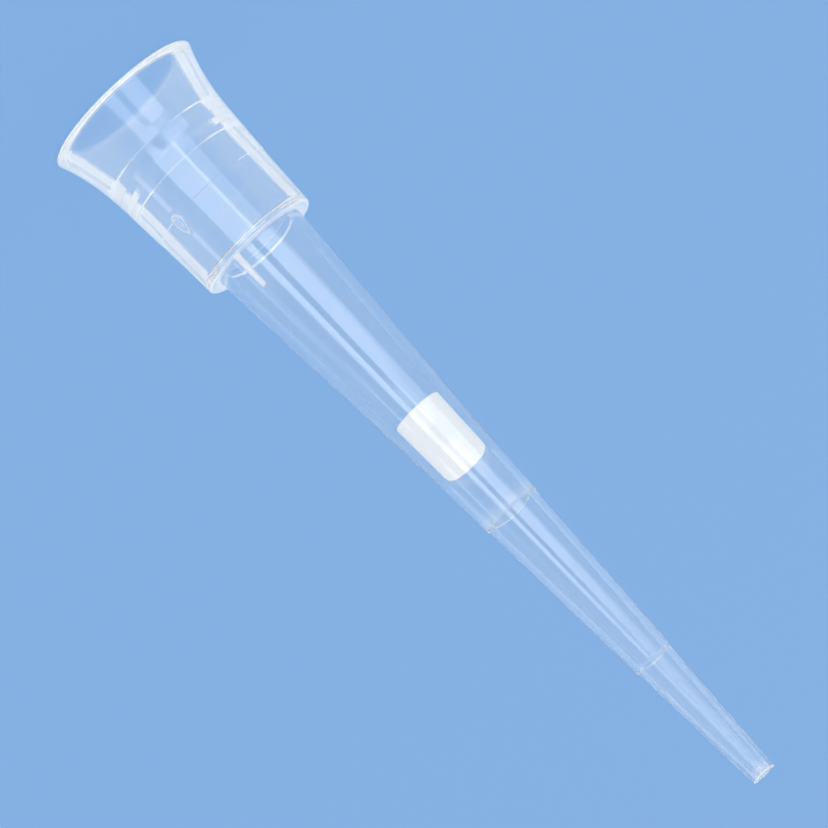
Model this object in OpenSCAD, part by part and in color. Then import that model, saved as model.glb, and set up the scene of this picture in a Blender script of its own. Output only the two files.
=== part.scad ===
// Filtered micropipette tip: a flared socket hub on a long tapered shaft, with a porous barrier plug.
// The tip stands on its rim, mouth down. The origin is the centre of the rim and +Z runs to the orifice.
// Heights are measured from the rim. All sizes are in millimetres.

/* [Length] */
// Length of the whole tip, from the rim to the orifice
tip_length = 31.5; // [29:0.1:40]

/* [Hub outside] */
// Length of the hub, from the rim to its orifice-side face
hub_length = 6.85; // [6.8:0.05:9]
// Diameter of the flared rim
rim_d = 6.1; // [5.8:0.05:7]
// Diameter that the hub's straight taper would have at the rim, without the flare
collar_mouth_d = 5.22; // [5:0.01:5.6]
// Length of the flare, from the rim
flare_length = 3; // [1:0.1:4]
// How sharply the flare opens towards the rim, 1 being a plain cone
flare_power = 2.5; // [1.2:0.1:4]
// Height of the small shoulder around the hub
shoulder_height = 4.55; // [4.1:0.05:5.5]
// Hub diameter just above the shoulder, on the orifice side
shoulder_d = 4.7; // [4.6:0.01:4.9]
// How far the shoulder stands out from the hub
shoulder_step = 0.02; // [0.005:0.005:0.06]
// Hub diameter at its orifice-side face
hub_end_d = 4.52; // [4.4:0.01:4.8]
// Radius of the hub's outer corners, at the rim and at the orifice-side face
corner_r = 0.08; // [0.02:0.01:0.15]

/* [Socket] */
// Diameter of the socket where the pipette's nozzle seats
socket_d = 3.78; // [3.7:0.01:3.85]
// Height of the socket's floor above the rim
socket_floor = 6.6; // [5.6:0.05:6.65]
// Radius of the corner between the socket's wall and its floor
socket_corner_r = 0.15; // [0.05:0.05:0.3]
// Height at which the nozzle seat begins
seat_start = 3.3; // [3.3:0.05:3.6]
// Diameter of the trumpet mouth, just inside the rounded lip
mouth_d = 4.72; // [4.4:0.01:4.9]
// Height at which the trumpet mouth ends, at a small ledge
mouth_length = 2; // [1.2:0.05:2.2]
// How sharply the trumpet opens towards the lip, 1 being a plain cone
mouth_power = 1.4; // [1.1:0.1:3]
// How far the ledge at the trumpet's end stands out, on each side
ledge_width = 0.05; // [0.03:0.01:0.1]
// Radius of the rim's rounded inner lip
lip_r = 0.15; // [0.05:0.01:0.2]
// Depth of the relief on either side of the sealing ring
relief_depth = 0.05; // [0.02:0.01:0.08]
// Height of the middle of the sealing ring
seal_height = 2.75; // [2.6:0.05:2.85]
// Width of the sealing ring at its foot
seal_width = 0.55; // [0.3:0.05:0.6]

/* [Shaft outside] */
// Shaft diameter where it leaves the hub
shaft_d = 3.58; // [3.3:0.01:4]
// Height at which the shaft's taper eases
ease_height = 16.5; // [15:0.1:18]
// Shaft diameter where its taper eases
ease_d = 2.42; // [2.2:0.01:2.6]
// Height of the larger graduation step
large_step_height = 19.25; // [18.5:0.05:21]
// Shaft diameter on the hub side of the larger graduation step
large_step_d = 2.18; // [2.1:0.01:2.3]
// Height of the smaller graduation step
small_step_height = 26.15; // [24:0.05:28]
// Shaft diameter on the hub side of the smaller graduation step
small_step_d = 1.49; // [1.4:0.01:1.6]
// How far the shaft steps in at each graduation
graduation_step = 0.04; // [0.01:0.005:0.08]
// Diameter of the orifice end
end_d = 0.9; // [0.75:0.01:1.1]
// Radius of the edge around the orifice end
end_edge_r = 0.03; // [0.01:0.01:0.05]

/* [Bore] */
// Bore diameter at the socket's floor
bore_d = 2.88; // [2.5:0.01:3]
// Bore diameter at the orifice
orifice_d = 0.44; // [0.3:0.01:0.55]

/* [Gate mark] */
// Length of the moulding gate's stub, which stands on the hub's orifice-side face
gate_length = 1.45; // [0.3:0.05:1.5]
// Diameter of the gate stub at its foot
gate_d = 0.26; // [0.16:0.02:0.3]
// Diameter of the gate stub at its end
gate_end_d = 0.2; // [0.1:0.02:0.24]
// Distance of the gate stub from the tip's axis
gate_offset = 2.05; // [2:0.01:2.1]
// Angle of the gate stub around the axis, from +X
gate_angle = -68; // [-180:1:180]

/* [Filter] */
// Height of the filter's hub-side face
filter_start = 14.62; // [10:0.05:15]
// Length of the filter
filter_length = 2.52; // [1.5:0.05:4]
// Filter diameter at its hub-side face
filter_d = 1.92; // [1.8:0.01:2]
// Filter diameter at its orifice-side face
filter_end_d = 1.78; // [1.6:0.01:1.8]
// Bevel of the filter's hub-side edge
filter_edge = 0.06; // [0.02:0.01:0.12]
// Bevel of the filter's orifice-side edge
filter_end_edge = 0.12; // [0.02:0.01:0.2]
// How far the filter's seat in the bore reaches past each of its faces
filter_seat_margin = 0.2; // [0.05:0.05:0.4]

/* [Hidden] */

// Pieces in each curved stretch of an outline
flare_pieces = 12;
corner_pieces = 4;
// How deep the gate stub is rooted in the hub
gate_root = 0.15;
$fn = 180;

// A point of an outline is [radius, height].
socket_r = socket_d / 2;
relief_r = socket_r + relief_depth;
filter_end = filter_start + filter_length;
seat_top = filter_start - filter_seat_margin;
seat_bottom = filter_end + filter_seat_margin;

// Radius at a height on the straight line between two points
function on_line(a, b, z) = a[0] + (b[0] - a[0]) * (z - a[1]) / (b[1] - a[1]);

// Quarter turn about a centre, from one angle to the other
function corner(centre, r, from, to) =
    [for (i = [0 : corner_pieces]) let (a = from + (to - from) * i / corner_pieces)
        centre + r * [cos(a), sin(a)]];

// Radius of a trumpet that widens from a straight line towards the rim
function trumpet(line_r, extra, z, length, power) =
    line_r + extra * pow(max(1 - z / length, 0), power);

// Two ends of a graduation step, sloping in towards the orifice
function step(r, z) = [[r, z], [r - graduation_step, z + graduation_step]];

// Hub outside, without its corners
collar_start = [collar_mouth_d / 2, 0];
collar_end = [shoulder_d / 2 + shoulder_step, shoulder_height];
function flare_r(z) = trumpet(
    on_line(collar_start, collar_end, z), (rim_d - collar_mouth_d) / 2, z, flare_length, flare_power);

// Trumpet mouth of the socket
mouth_end_r = relief_r + ledge_width;
function mouth_r(z) = trumpet(
    mouth_end_r, mouth_d / 2 - mouth_end_r, z - lip_r, mouth_length - lip_r, mouth_power);

// Outside of the tip, from the rim to the orifice
rim_corner_r = flare_r(corner_r);
outside = concat(
    corner([rim_corner_r - corner_r, corner_r], corner_r, -90, 0),
    [for (i = [1 : flare_pieces]) let (z = corner_r + (flare_length - corner_r) * i / flare_pieces)
        [flare_r(z), z]],
    [collar_end, [shoulder_d / 2, shoulder_height + shoulder_step]],
    corner([hub_end_d / 2 - corner_r, hub_length - corner_r], corner_r, 0, 90),
    [[shaft_d / 2, hub_length], [ease_d / 2, ease_height]],
    step(large_step_d / 2, large_step_height),
    step(small_step_d / 2, small_step_height),
    corner([end_d / 2 - end_edge_r, tip_length - end_edge_r], end_edge_r, 0, 90)
);

// Filter seat, where the bore follows the filter's own taper
function filter_r(z) = on_line([filter_d / 2, filter_start], [filter_end_d / 2, filter_end], z);

// Inside of the tip, from the orifice to the rim
inside = concat(
    [[orifice_d / 2, tip_length]],
    [for (z = [seat_bottom, seat_top]) [filter_r(z), z]],
    [[bore_d / 2, socket_floor]],
    corner([socket_r - socket_corner_r, socket_floor - socket_corner_r], socket_corner_r, 90, 0),
    [[socket_r, seat_start], [relief_r, seat_start - relief_depth]],
    [for (i = [-1 : 1]) [relief_r - (1 - abs(i)) * relief_depth, seal_height - i * seal_width / 2]],
    [[relief_r, mouth_length + relief_depth]],
    [for (i = [flare_pieces : -1 : 1]) let (z = lip_r + (mouth_length - lip_r) * i / flare_pieces)
        [mouth_r(z), z]],
    corner([mouth_d / 2 + lip_r, lip_r], lip_r, 180, 270)
);

module tip_body() {
    color([0.93, 0.95, 0.98, 0.45]) {
        rotate_extrude() polygon(concat(outside, inside));
        rotate([0, 0, gate_angle]) translate([gate_offset, 0, hub_length - gate_root])
            cylinder(h = gate_length + gate_root, d1 = gate_d, d2 = gate_end_d, $fn = 24);
    }
}

module filter() {
    color([0.97, 0.97, 0.96])
        rotate_extrude() polygon([
            [0, filter_start],
            [filter_r(filter_start) - filter_edge, filter_start],
            [filter_r(filter_start + filter_edge), filter_start + filter_edge],
            [filter_r(filter_end - filter_end_edge), filter_end - filter_end_edge],
            [filter_r(filter_end) - filter_end_edge, filter_end],
            [0, filter_end]
        ]);
}

tip_body();
filter();
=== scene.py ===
import bpy
import math
import numpy as np
from mathutils import Matrix, Vector

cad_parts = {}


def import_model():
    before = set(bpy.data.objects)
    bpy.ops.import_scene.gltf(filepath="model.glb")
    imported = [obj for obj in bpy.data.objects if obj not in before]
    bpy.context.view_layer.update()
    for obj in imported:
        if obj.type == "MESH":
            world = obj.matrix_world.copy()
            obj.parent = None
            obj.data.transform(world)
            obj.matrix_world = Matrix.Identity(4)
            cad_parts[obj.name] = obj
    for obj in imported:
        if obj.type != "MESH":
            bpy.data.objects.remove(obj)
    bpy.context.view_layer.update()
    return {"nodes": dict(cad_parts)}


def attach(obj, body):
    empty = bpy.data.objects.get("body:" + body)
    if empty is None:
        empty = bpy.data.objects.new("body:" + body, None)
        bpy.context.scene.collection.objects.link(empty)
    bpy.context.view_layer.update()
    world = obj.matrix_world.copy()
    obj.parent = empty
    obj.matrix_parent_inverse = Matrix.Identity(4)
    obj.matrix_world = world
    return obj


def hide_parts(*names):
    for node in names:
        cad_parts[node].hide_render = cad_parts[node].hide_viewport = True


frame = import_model()
MM = 0.001

# Heights of the socket's small ledge and of the end of its relief, in mm from the rim
LEDGE = 2.03
RELIEF_END = 3.27

# Gate stub: its distance from the axis in mm, its angle about it, and how white it looks
GATE_OFFSET = 2.05
GATE_ANGLE = math.radians(-68)
GATE_HAZE = 0.35

# Mould mark: the angle and height of its middle, its half length and width, and its relief, in mm
MARK_ANGLE = math.radians(-53.9)
MARK_HEIGHT = 4.82
MARK_HALF_LENGTH = 0.38
MARK_HALF_WIDTH = 0.17
MARK_RAISED = 0.035

# Space that the plug keeps from the bore, in mm
PLUG_GAP = 0.015

# Stage: the floor lies just under the rim
FLOOR_RADIUS_M = 4.0
FLOOR_SIDES = 64
FLOOR_DROP = 0.03

# Camera: distance and aim, how far it looks down, its roll as cosine and sine, and its lens
CAMERA_DISTANCE_M = 0.3074
CAMERA_AIM = (0.137, 0, 14.59)
CAMERA_TILT = math.radians(10.32)
CAMERA_ROLL = (0.6909, 0.7230)
CAMERA_LENS_MM = 400.0
CAMERA_SENSOR_MM = 36


# ---------------------------------------------------------------- outlines
def outline(node, closed):
    """Corner points (radius, height) of a turned CAD node, in mm, walked along its seam."""
    # How far from the seam's plane a point of it may lie, and the sine of a bend that is no corner
    on_seam, straight = 1e-4, 0.004
    mesh = frame["nodes"][node].data
    seam = {}
    for v in mesh.vertices:
        x, y, z = v.co / MM
        if abs(y) < on_seam and x > -1e-6:
            seam[v.index] = (round(max(x, 0), 4), round(z, 4))
    links = {}
    for e in mesh.edges:
        a, b = (seam.get(i) for i in e.vertices)
        if a and b and a != b:
            links.setdefault(a, set()).add(b)
            links.setdefault(b, set()).add(a)
    at = min(links, key=lambda p: (p[0], -p[1]))
    if not closed:
        at = max((p for p in links if len(links[p]) == 1), key=lambda p: p[1])
    loop, seen = [at], {at}
    while True:
        ahead = [p for p in links[at] if p not in seen]
        if not ahead:
            break
        at = min(ahead, key=lambda p: math.dist(p, at))
        loop.append(at)
        seen.add(at)
    kept = []
    for i, p in enumerate(loop):
        a, b = loop[i - 1], loop[(i + 1) % len(loop)]
        u, v = (p[0] - a[0], p[1] - a[1]), (b[0] - p[0], b[1] - p[1])
        bend = abs(u[0] * v[1] - u[1] * v[0]) / (math.hypot(*u) * math.hypot(*v))
        if bend > straight or (not closed and i in (0, len(loop) - 1)):
            kept.append(p)
    return kept


def flat_heights(points):
    """Heights of the flat faces of a closed outline, from the bottom up."""
    return sorted({a[1] for a, b in zip(points, points[1:] + points[:1]) if a[1] == b[1]})


BODY_OUTLINE = outline("tip_body", True)
_, SOCKET_FLOOR, HUB_END, ORIFICE = flat_heights(BODY_OUTLINE)


def unit(a, b):
    return np.subtract(b, a) / math.dist(a, b)


def directions(points, closed):
    """For each point, the way in, the way out, and whether it is a sharp corner."""
    # Degrees of bend that are smooth anywhere, and beside a step of an arc, which is short
    gentle, on_arc, arc_step = 6, 30, 0.1
    n = len(points)
    arrive, leave, sharp = [None] * n, [None] * n, [True] * n
    for i, p in enumerate(points):
        a, b = points[i - 1], points[(i + 1) % n]
        u, v = unit(a, p), unit(p, b)
        arrive[i], leave[i] = u, v
        if not closed and i in (0, n - 1):
            continue
        bend = math.degrees(math.acos(min(1, u @ v)))
        before, after = math.dist(a, p), math.dist(p, b)
        if bend < gentle or (bend < on_arc and min(before, after) < arc_step):
            sharp[i] = False
            # A curve starts along the straight stretch that it meets
            run = (u + v) / np.linalg.norm(u + v)
            if before > 3 * after:
                run = u
            elif after > 3 * before:
                run = v
            arrive[i] = leave[i] = run
    return arrive, leave, sharp


def on_curve(p, q, leave, arrive, f):
    """Point at share f of the smooth curve that leaves p and arrives at q in the given directions."""
    length = math.dist(p, q)
    w = (2 * f**3 - 3 * f**2 + 1, f**3 - 2 * f**2 + f, 3 * f**2 - 2 * f**3, f**3 - f**2)
    point = (w[0] * np.array(p) + w[1] * length * leave
             + w[2] * np.array(q) + w[3] * length * arrive)
    return float(point[0]), float(point[1])


def rows(points, closed, longest):
    """Rows of a lathe as (radius, height, sharp), with more of them on curves and long stretches."""
    # Long stretches have a row close to each of their corners, so that only the corner is shaded
    curve_steps, near_corner, long_stretch = 5, 0.025, 0.1
    arrive, leave, sharp = directions(points, closed)
    out = []
    for i, p in enumerate(points):
        out.append((p[0], p[1], sharp[i]))
        if not closed and i == len(points) - 1:
            break
        k = (i + 1) % len(points)
        q, length, way = points[k], math.dist(p, points[k]), unit(p, points[k])
        bend = max(np.linalg.norm(leave[i] - way), np.linalg.norm(arrive[k] - way))
        if bend > 0.01:
            for s in range(1, curve_steps):
                out.append((*on_curve(p, q, leave[i], arrive[k], s / curve_steps), False))
        elif length > long_stretch:
            inner = length - 2 * near_corner
            count = max(1, math.ceil(inner / longest((p[1] + q[1]) / 2)))
            for s in [near_corner + inner * s / count for s in range(count + 1)]:
                out.append((p[0] + way[0] * s, p[1] + way[1] * s, False))
    return out


def soften(points, times):
    """An open outline with its corners cut, so that bevels become curves."""
    # Each cut takes this length in mm off a side, or this share of a short one
    cut_length, cut_share = 0.06, 0.25
    for _ in range(times):
        out = [points[0]]
        for a, b in zip(points, points[1:]):
            cut = min(cut_share, cut_length / math.dist(a, b))
            out += [tuple(np.add(a, np.subtract(b, a) * f)) for f in (cut, 1 - cut)]
        points = out + [points[-1]]
    return points


# ---------------------------------------------------------------- turned meshes
def turned_faces(count, segments, closed):
    """Quads between the rows, and a flat face at each end of an open outline."""
    row, spoke = np.meshgrid(
        np.arange(count if closed else count - 1), np.arange(segments), indexing="ij")
    row2, spoke2 = (row + 1) % count, (spoke + 1) % segments
    quads = np.stack([row * segments + spoke, row2 * segments + spoke,
                      row2 * segments + spoke2, row * segments + spoke2], -1)
    faces = [tuple(q) for q in quads.reshape(-1, 4).tolist()]
    if not closed:
        faces.append(tuple(range(segments)))
        faces.append(tuple(reversed(range((count - 1) * segments, count * segments))))
    return faces


def shade(mesh, sharp, segments):
    """Smooth faces, with sharp edges along the rows that are corners."""
    edges = np.zeros(len(mesh.edges) * 2, int)
    mesh.edges.foreach_get("vertices", edges)
    first, second = edges.reshape(-1, 2).T // segments
    flag = mesh.attributes.new("sharp_edge", "BOOLEAN", "EDGE")
    flag.data.foreach_set("value", (first == second) & np.array(sharp)[first])
    mesh.polygons.foreach_set("use_smooth", np.ones(len(mesh.polygons), bool))


def lathe(name, points, closed, segments, longest, relief=None, marks=None):
    """A turned mesh. relief raises it, and each of marks gives its rows a value for the material."""
    ring = rows(points, closed, longest)
    angles = np.arange(segments) * 2 * math.pi / segments
    r = np.array([p[0] for p in ring])[:, None] + np.zeros(segments)
    z = np.array([p[1] for p in ring])[:, None] + np.zeros(segments)
    a = angles[None, :] + np.zeros_like(r)
    raised = relief(r, z, a) if relief else 0 * r
    r = r + raised
    places = np.stack([r * np.cos(a), r * np.sin(a), z], -1).reshape(-1, 3) * MM
    mesh = bpy.data.meshes.new(name)
    mesh.from_pydata(places.tolist(), [], turned_faces(len(ring), segments, closed))
    mesh.update()
    shade(mesh, [p[2] for p in ring], segments)
    values = {title: np.repeat([rule(*p) for p in ring], segments)
              for title, rule in (marks or {}).items()}
    values["raised"] = raised.reshape(-1)
    for title, numbers in values.items():
        layer = mesh.attributes.new(title, "FLOAT", "POINT")
        layer.data.foreach_set("value", numbers.astype(np.float32))
    obj = bpy.data.objects.new(name, mesh)
    bpy.context.scene.collection.objects.link(obj)
    return obj


# ---------------------------------------------------------------- node helpers
class Nodes:
    """A small builder for node trees."""

    def __init__(self, tree):
        self.tree = tree
        tree.nodes.clear()

    def put(self, socket, value):
        if isinstance(value, bpy.types.NodeSocket):
            self.tree.links.new(value, socket)
        else:
            socket.default_value = value

    def new(self, kind, inputs=None, **props):
        n = self.tree.nodes.new(kind)
        for k, v in props.items():
            setattr(n, k, v)
        for k, v in (inputs or {}).items():
            self.put(n.inputs[k], v)
        return n

    def math(self, op, a, b=0.0, c=0.0):
        return self.new("ShaderNodeMath", {0: a, 1: b, 2: c}, operation=op).outputs[0]

    def ramp(self, value, a, b, lo=0.0, hi=1.0):
        """lo below a, hi above b."""
        n = self.new("ShaderNodeMapRange", {
            "Value": value, "From Min": a, "From Max": b, "To Min": lo, "To Max": hi},
            interpolation_type="SMOOTHSTEP")
        return n.outputs["Result"]

    def band(self, value, a, b, soft):
        """1 between a and b, fading to 0 over soft on each side."""
        rise = self.ramp(value, a - soft, a)
        return self.math("MULTIPLY", rise, self.ramp(value, b, b + soft, 1.0, 0.0))

    def mix(self, factor, a, b, blend="MIX"):
        """Two colours mixed: inputs 6 and 7 and output 2 are the node's colour sockets."""
        n = self.new("ShaderNodeMix", data_type="RGBA", blend_type=blend)
        for i, v in ((0, factor), (6, a), (7, b)):
            self.put(n.inputs[i], v)
        return n.outputs[2]

    def noise(self, place, scale, detail):
        inputs = {"Vector": place, "Scale": scale, "Detail": detail}
        return self.new("ShaderNodeTexNoise", inputs).outputs["Fac"]

    def bump(self, strength, depth, inputs):
        """A bump whose depth is given in mm."""
        inputs = {"Strength": strength, "Distance": depth * MM, **inputs}
        return self.new("ShaderNodeBump", inputs).outputs[0]

    def surface(self, inputs):
        """A Principled shader, joined to the material's output."""
        shader = self.new("ShaderNodeBsdfPrincipled", inputs)
        self.new("ShaderNodeOutputMaterial", {"Surface": shader.outputs[0]})


def material(name):
    m = bpy.data.materials.new(name)
    m.use_nodes = True
    return m, Nodes(m.node_tree)


def linear(r, g, b):
    """Linear colour of three sRGB levels from 0 to 255."""
    def one(c):
        c /= 255
        return c / 12.92 if c <= 0.04045 else ((c + 0.055) / 1.055) ** 2.4
    return (one(r), one(g), one(b), 1.0)


# ---------------------------------------------------------------- materials
def polypropylene():
    """Clear plastic that is milky, and painted with highlights, where its share of transmission
    falls.
    """
    m, n = material("clear_polypropylene")
    place = n.new("ShaderNodeTexCoord").outputs["Object"]
    z = n.math("DIVIDE", n.new("ShaderNodeSeparateXYZ", {0: place}).outputs[2], MM)

    # Soft clouds, flow lines drawn out along the tip, and a fine grain
    cloud = n.noise(place, 900.0, 3.0)
    stretch = n.new("ShaderNodeMapping", {"Vector": place, "Scale": (1.0, 1.0, 0.12)}).outputs[0]
    flow = n.noise(stretch, 1500.0, 2.0)
    fine = n.noise(place, 9000.0, 2.0)

    # What the mesh says of each spot, and how the spot is seen: facing is 0 head on and 1 edge on
    satin, line, end, ring, raised = (
        n.new("ShaderNodeAttribute", attribute_name=k).outputs["Fac"]
        for k in ("satin", "line", "end", "ring", "raised"))
    facing = n.new("ShaderNodeLayerWeight", {"Blend": 0.5}).outputs["Facing"]
    inside = n.new("ShaderNodeNewGeometry").outputs["Backfacing"]
    front = n.math("SUBTRACT", 1.0, inside)

    # Painted reflection: the satin socket is made white aslant in the near wall, in place of light
    # that the wall reflects inside, apart from a streak that the seal interrupts, and the far wall is
    # whitened a little the same way
    streak = n.math("MULTIPLY_ADD", n.band(facing, 0.35, 0.37, 0.02), -0.35, 0.78)
    seal = n.math("MULTIPLY", n.band(z, 2.0, 3.3, 0.15), 0.76)
    streak = n.math("MAXIMUM", streak, seal)
    near = n.math("MULTIPLY", n.math("MULTIPLY", inside, n.ramp(facing, 0.235, 0.28)), streak)
    far = n.math("MULTIPLY", front, n.ramp(facing, 0.17, 0.26, 0.08, 0.17))

    # Milkiness everywhere is real haze; the whitening at the shaft's edges, on the socket, the hub's
    # end, the rings, the mark, the lip and the corners is painted highlight
    edge = n.math("MULTIPLY", n.ramp(facing, 0.15, 0.55), n.ramp(z, 10, 22, 0.0, 0.02))
    haze_and_highlight = n.math("MULTIPLY_ADD", cloud, 0.04, n.ramp(z, 6.0, 7.5, 0.015, 0.03))
    haze_and_highlight = n.math("MULTIPLY_ADD", front, edge, haze_and_highlight)
    haze_and_highlight = n.math("MULTIPLY_ADD", satin, n.math("ADD", near, far), haze_and_highlight)
    haze_and_highlight = n.math("MULTIPLY_ADD", end, n.ramp(facing, 0.35, 0.6, 0.0, 0.4), haze_and_highlight)
    ring = n.math("MULTIPLY", ring, inside)
    haze_and_highlight = n.math("MULTIPLY_ADD", ring, n.ramp(facing, 0.15, 0.25, 0.0, 0.25), haze_and_highlight)
    haze_and_highlight = n.math("MULTIPLY_ADD", raised, 9.0, haze_and_highlight)
    haze_and_highlight = n.math("ADD", haze_and_highlight, n.ramp(z, 0.03, 0.16, 0.3, 0.0))
    haze_and_highlight = n.math("ADD", haze_and_highlight, line)
    clear = n.math("SUBTRACT", 1.0, n.math("MINIMUM", haze_and_highlight, 0.9))
    colour = n.mix(cloud, (0.955, 0.975, 1.0, 1), (0.985, 0.995, 1.0, 1))

    # The socket is satin, and the shaft dulls towards the orifice
    rough = n.math("MULTIPLY_ADD", fine, 0.04, n.ramp(z, 18, 30, 0.01, 0.17))
    rough = n.math("MULTIPLY_ADD", satin, 0.18, rough)

    # Flow lines show more on the hub than on the shaft
    wave = n.bump(n.ramp(z, 6.5, 7.5, 0.35, 0.06), 0.02, {"Height": flow})
    grain = n.bump(0.05, 0.004, {"Height": fine, "Normal": wave})
    n.surface({"Base Color": colour, "Roughness": rough, "IOR": 1.49,
               "Transmission Weight": clear, "Normal": grain})
    return m


def porous():
    """White sintered grains."""
    m, n = material("porous_polyethylene")
    place = n.new("ShaderNodeTexCoord").outputs["Object"]
    grains = n.new("ShaderNodeTexVoronoi", {"Vector": place, "Scale": 9000.0})
    grain = n.ramp(grains.outputs["Distance"], 0.1, 0.8, 1.0, 0.0)
    cloud = n.noise(place, 2500.0, 4.0)
    n.surface({
        "Base Color": n.mix(grain, (0.94, 0.94, 0.935, 1), (0.99, 0.985, 0.975, 1)),
        "Roughness": n.math("MULTIPLY_ADD", cloud, 0.2, 0.7),
        "IOR": 1.5,
        "Normal": n.bump(0.5, 0.03, {"Height": grain})})
    return m


# ---------------------------------------------------------------- the tip
def body_rows(z):
    """Longest step between rows: finest around the mould mark, and short on the whole hub."""
    return 0.035 if 3.5 < z < 6 else 0.08 if z < 7 else 0.5


def socket(r, z, sharp):
    """How satin a row is: the socket's wall, its mouth and the corner at its floor."""
    heights = [0.0, 0.02, 0.3, 2.8, 4.5, HUB_END]
    inner_side = np.interp(z, heights, [2.9, 2.7, 2.6, 2.3, 2.2, 2.2])
    least = 1.7 if z > SOCKET_FLOOR - 0.14 else 1.85
    if r > inner_side or z > SOCKET_FLOOR + 0.02 or r < least:
        return 0.0
    return 0.75 if sharp else 1.0


def corner_highlight(r, z, sharp):
    """How much a row is whitened at corners: a painted highlight where the plastic's edges catch
    light.
    """
    # The orifice end: its outer edge, the bore's edge and the face between them
    if z > ORIFICE - 0.035:
        return 0.6 if r > 0.42 else 0.3 if r < 0.23 else 0.05
    # The hub's rounded corner
    if r > 2.15 and HUB_END - 0.13 < z < HUB_END + 0.01:
        return 0.12
    # The shaft's foot and its graduation steps
    if sharp and r > 0.7 and z > HUB_END - 0.05:
        return 0.15
    return 0.0


def hub_end(r, z, sharp):
    """1 on the solid end of the hub, around the socket's floor."""
    return 1.0 if r > 1.8 and z > SOCKET_FLOOR + 0.01 else 0.0


def rings(r, z, sharp):
    """How near the socket's ledge or the end of its relief a row is."""
    if not 1.85 < r < 2.2:
        return 0.0
    return sum(math.exp(-(((z - height) / 0.07) ** 2)) for height in (LEDGE, RELIEF_END))


def mould_mark(r, z, a):
    """A small teardrop outline on the hub, narrower towards the shaft and a little raised inside."""
    across = r * ((a - MARK_ANGLE + math.pi) % (2 * math.pi) - math.pi)
    along = z - MARK_HEIGHT
    width = MARK_HALF_WIDTH * (1 - 0.35 * np.clip(along / 0.4, -1, 1))
    out = np.sqrt((along / MARK_HALF_LENGTH) ** 2 + (across / width) ** 2)
    line = MARK_RAISED * np.exp(-(((out - 1) / 0.22) ** 2))
    middle = 0.012 * np.clip(1 - out, 0, 1)
    return np.where((r > 2.2) & (z > 4), line + middle, 0)


POLY = polypropylene()
body = lathe("tip", BODY_OUTLINE, closed=True, segments=360, longest=body_rows, relief=mould_mark,
             marks={"satin": socket, "line": corner_highlight, "end": hub_end, "ring": rings})
body.data.materials.append(POLY)
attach(body, "root")
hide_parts("tip_body")

# Radii and heights of the gate stub on the hub's end, from its rounded top to its sunken foot
stub_rise = [(0.05, 1.45), (0.085, 1.43), (0.1, 1.37), (0.115, 0.65), (0.13, -0.01)]
stub_outline = [(r, round(HUB_END + rise, 4)) for r, rise in stub_rise]
stub = lathe("gate_stub", stub_outline, closed=False, segments=32, longest=lambda z: 0.1,
             marks={"line": lambda r, z, sharp: GATE_HAZE})
stub.data.transform(Matrix.Translation((
    GATE_OFFSET * MM * math.cos(GATE_ANGLE), GATE_OFFSET * MM * math.sin(GATE_ANGLE), 0)))
stub.data.materials.append(POLY)
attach(stub, "root")

plug_outline = [(r - PLUG_GAP, z) for r, z in soften(outline("filter", False), times=3)]
plug = lathe("plug", plug_outline, closed=False, segments=240, longest=lambda z: 0.1)
plug.data.materials.append(porous())
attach(plug, "root")
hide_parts("filter")

# ---------------------------------------------------------------- stage
PALE = linear(130, 175, 226)
PAPER = linear(122, 170, 222)


def floor():
    """A disc of pale blue paper that only the camera sees."""
    mesh = bpy.data.meshes.new("floor")
    turns = [2 * math.pi * i / FLOOR_SIDES for i in range(FLOOR_SIDES)]
    rim = [(FLOOR_RADIUS_M * math.cos(t), FLOOR_RADIUS_M * math.sin(t), 0) for t in turns]
    mesh.from_pydata(rim, [], [tuple(range(FLOOR_SIDES))])
    obj = bpy.data.objects.new("floor", mesh)
    bpy.context.scene.collection.objects.link(obj)
    m, n = material("floor_paper")
    n.surface({"Base Color": PAPER, "Roughness": 0.9})
    mesh.materials.append(m)
    obj.visible_glossy = obj.visible_transmission = False
    obj.visible_diffuse = obj.visible_shadow = False
    obj.location.z = -FLOOR_DROP * MM


def shaft_panels(n, side, height, zone):
    """Two bright bands that draw apart upwards, and a thin one low down to their right."""
    apart = n.ramp(height, -3.9, -2.6, 0.0, 3.0)
    left = n.ramp(n.math("ADD", side, apart), -11, -6, 2.6, 0.0)
    left = n.math("MULTIPLY", n.ramp(side, -55, -50), left)
    right = n.ramp(n.math("SUBTRACT", side, apart), 6, 10, 0.0, 3.0)
    right = n.math("MULTIPLY", n.ramp(side, 23, 27, 1.0, 0.0), right)
    thin = n.math("MULTIPLY", n.band(side, 55, 63, 5), n.ramp(height, -5.2, -4.6, 1.2, 0.0))
    bands = n.math("ADD", left, n.math("ADD", right, thin))
    bands = n.math("MULTIPLY", bands, zone)
    return n.math("MULTIPLY", bands, n.ramp(height, -3.6, -1.6, 1.0, 0.42))


def hub_panels(n, side, zone):
    """A wide band with a bright line at its left, a dimmer band beside it and a narrow one."""
    bands = n.math("MULTIPLY", n.band(side, -15, 26, 3), 3.2)
    bands = n.math("MULTIPLY_ADD", n.band(side, -37, -18, 4), 1.7, bands)
    bands = n.math("MULTIPLY_ADD", n.band(side, 64, 70, 3), 2.4, bands)
    line = n.math("MULTIPLY", n.band(side, -15.5, -12, 2), 2.6)
    return n.math("MULTIPLY", n.math("ADD", bands, line), zone)


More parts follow.
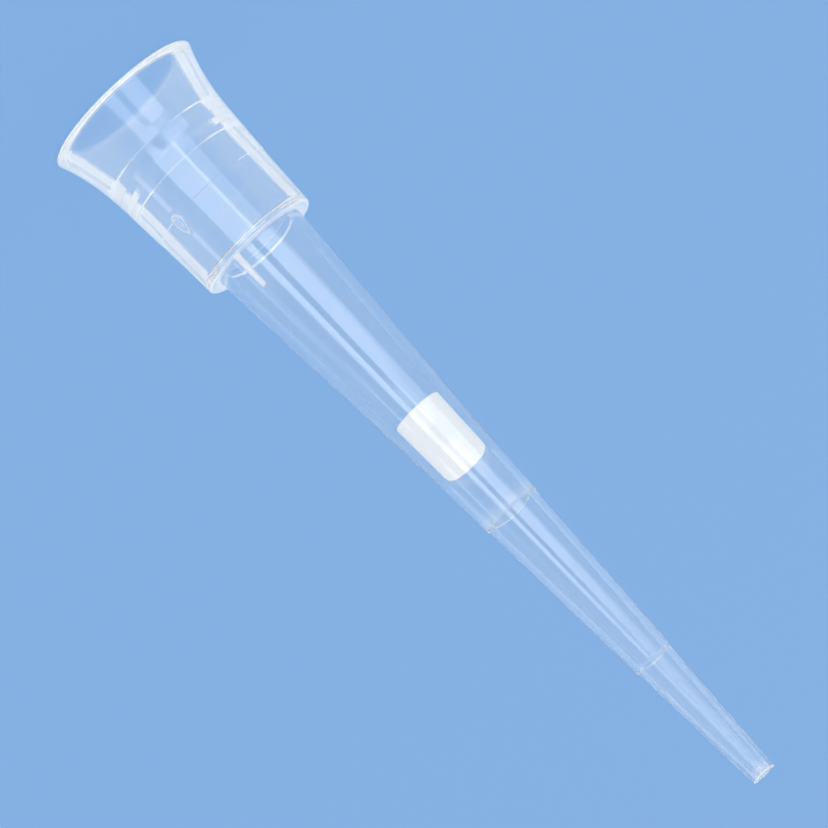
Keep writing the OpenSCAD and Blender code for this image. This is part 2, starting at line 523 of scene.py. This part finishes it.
def mouth_panels(n, side, height):
    """Panels with their strengths: two for the flare, and one low down for the trumpet mouth."""
    crest = n.math("MULTIPLY", n.band(side, -38, -12, 3), n.band(height, 4.3, 32, 0.7))
    tongue = n.math("SUBTRACT", side, n.ramp(height, 3, 6, -8.0, 1.0))
    tongue = n.math("MULTIPLY", n.ramp(tongue, -3, 0), n.ramp(side, 16, 20, 1.0, 0.0))
    tongue = n.math("MULTIPLY", tongue, n.band(height, -0.4, 32, 0.6))
    under = n.math("MULTIPLY", n.band(side, 9, 49, 3), n.band(height, -50, -39.5, 1))
    return (crest, 2.3), (tongue, 2.0), (under, 1.6)


def world():
    """Soft studio light. Reflections also show bright panels, and the camera a pale surround."""
    studio = bpy.data.worlds.new("studio")
    bpy.context.scene.world = studio
    studio.use_nodes = True
    n = Nodes(studio.node_tree)

    # Directions in degrees: side is the bearing, 0 on the camera's side, and height is the rise
    way = n.new("ShaderNodeTexCoord").outputs["Generated"]
    x, y, z = n.new("ShaderNodeSeparateXYZ", {0: way}).outputs
    side = n.math("DEGREES", n.math("ARCTAN2", x, n.math("MULTIPLY", y, -1.0)))
    height = n.math("DEGREES", n.math("ARCSINE", z))

    # The hub's outside mostly mirrors the low zone, and the shaft's steeper taper the high one
    low = n.ramp(height, -6.2, -4.9, 1.0, 0.0)
    high = n.math("SUBTRACT", n.ramp(height, -1.2, -0.4, 1.0, 0.0), low)
    low = n.math("MULTIPLY", low, n.ramp(height, -10.2, -9.2))
    panels = n.math("ADD", shaft_panels(n, side, height, high), hub_panels(n, side, low))
    for panel, strength in mouth_panels(n, side, height):
        panels = n.math("MULTIPLY_ADD", panel, strength, panels)

    # Faint bluish light from behind whitens the outlines
    behind = n.ramp(n.math("ABSOLUTE", side), 110, 130)
    rims = n.math("MULTIPLY", behind, n.ramp(height, -9.2, -6.8, 0.035, 0.14))
    rgb = [n.math("MULTIPLY_ADD", rims, share, panels) for share in (0.85, 1.0, 1.12)]
    white = n.new("ShaderNodeCombineXYZ", dict(enumerate(rgb))).outputs[0]

    # The shaft's outside mirrors a dark gap between its two bands
    path = n.new("ShaderNodeLightPath").outputs
    gap = n.math("MULTIPLY", n.band(side, -4, 6, 2), high)
    gap = n.math("MULTIPLY", gap, n.math("LESS_THAN", path["Transmission Depth"], 0.5))
    around = n.mix(gap, PALE, (0.02, 0.03, 0.05, 1))
    around = n.mix(1.0, around, white, "ADD")

    # Rays from the camera see this, straight, mirrored or through plastic; others the soft light
    mirrored = n.math("GREATER_THAN", path["Glossy Depth"], 0.5)
    looking = n.math("MAXIMUM", path["Is Camera Ray"], path["Is Glossy Ray"])
    looking = n.math("MULTIPLY", looking, n.math("LESS_THAN", path["Diffuse Depth"], 0.5))
    soft = n.mix(n.ramp(height, -30, 30), (0.92, 0.96, 1.0, 1), (1.04, 1.04, 1.04, 1))
    colour = n.mix(looking, soft, n.mix(mirrored, PALE, around))
    shader = n.new("ShaderNodeBackground", {"Color": colour, "Strength": 1.0})
    n.new("ShaderNodeOutputWorld", {"Surface": shader.outputs[0]})


def camera():
    """A long lens, which looks down a little and is rolled so that the tip lies diagonally."""
    along = Vector((0, math.sin(CAMERA_TILT), math.cos(CAMERA_TILT)))
    across = Vector((1, 0, 0))
    back = Vector((0, -math.cos(CAMERA_TILT), math.sin(CAMERA_TILT)))
    c, s = CAMERA_ROLL
    data = bpy.data.cameras.new("camera")
    data.lens = CAMERA_LENS_MM
    data.sensor_width = CAMERA_SENSOR_MM
    data.clip_start, data.clip_end = 0.01, 20
    cam = bpy.data.objects.new("camera", data)
    axes = (along * c - across * s, -along * s - across * c, back)
    m = Matrix(axes).transposed().to_4x4()
    m.translation = Vector([v * MM for v in CAMERA_AIM]) + back * CAMERA_DISTANCE_M
    cam.matrix_world = m
    bpy.context.scene.collection.objects.link(cam)
    bpy.context.scene.camera = cam


floor()
world()
camera()

scene = bpy.context.scene
scene.view_settings.view_transform = "Standard"
scene.cycles.max_bounces = 32
scene.cycles.glossy_bounces = 32
scene.cycles.transmission_bounces = 32
scene.cycles.diffuse_bounces = 8
scene.cycles.blur_glossy = 0
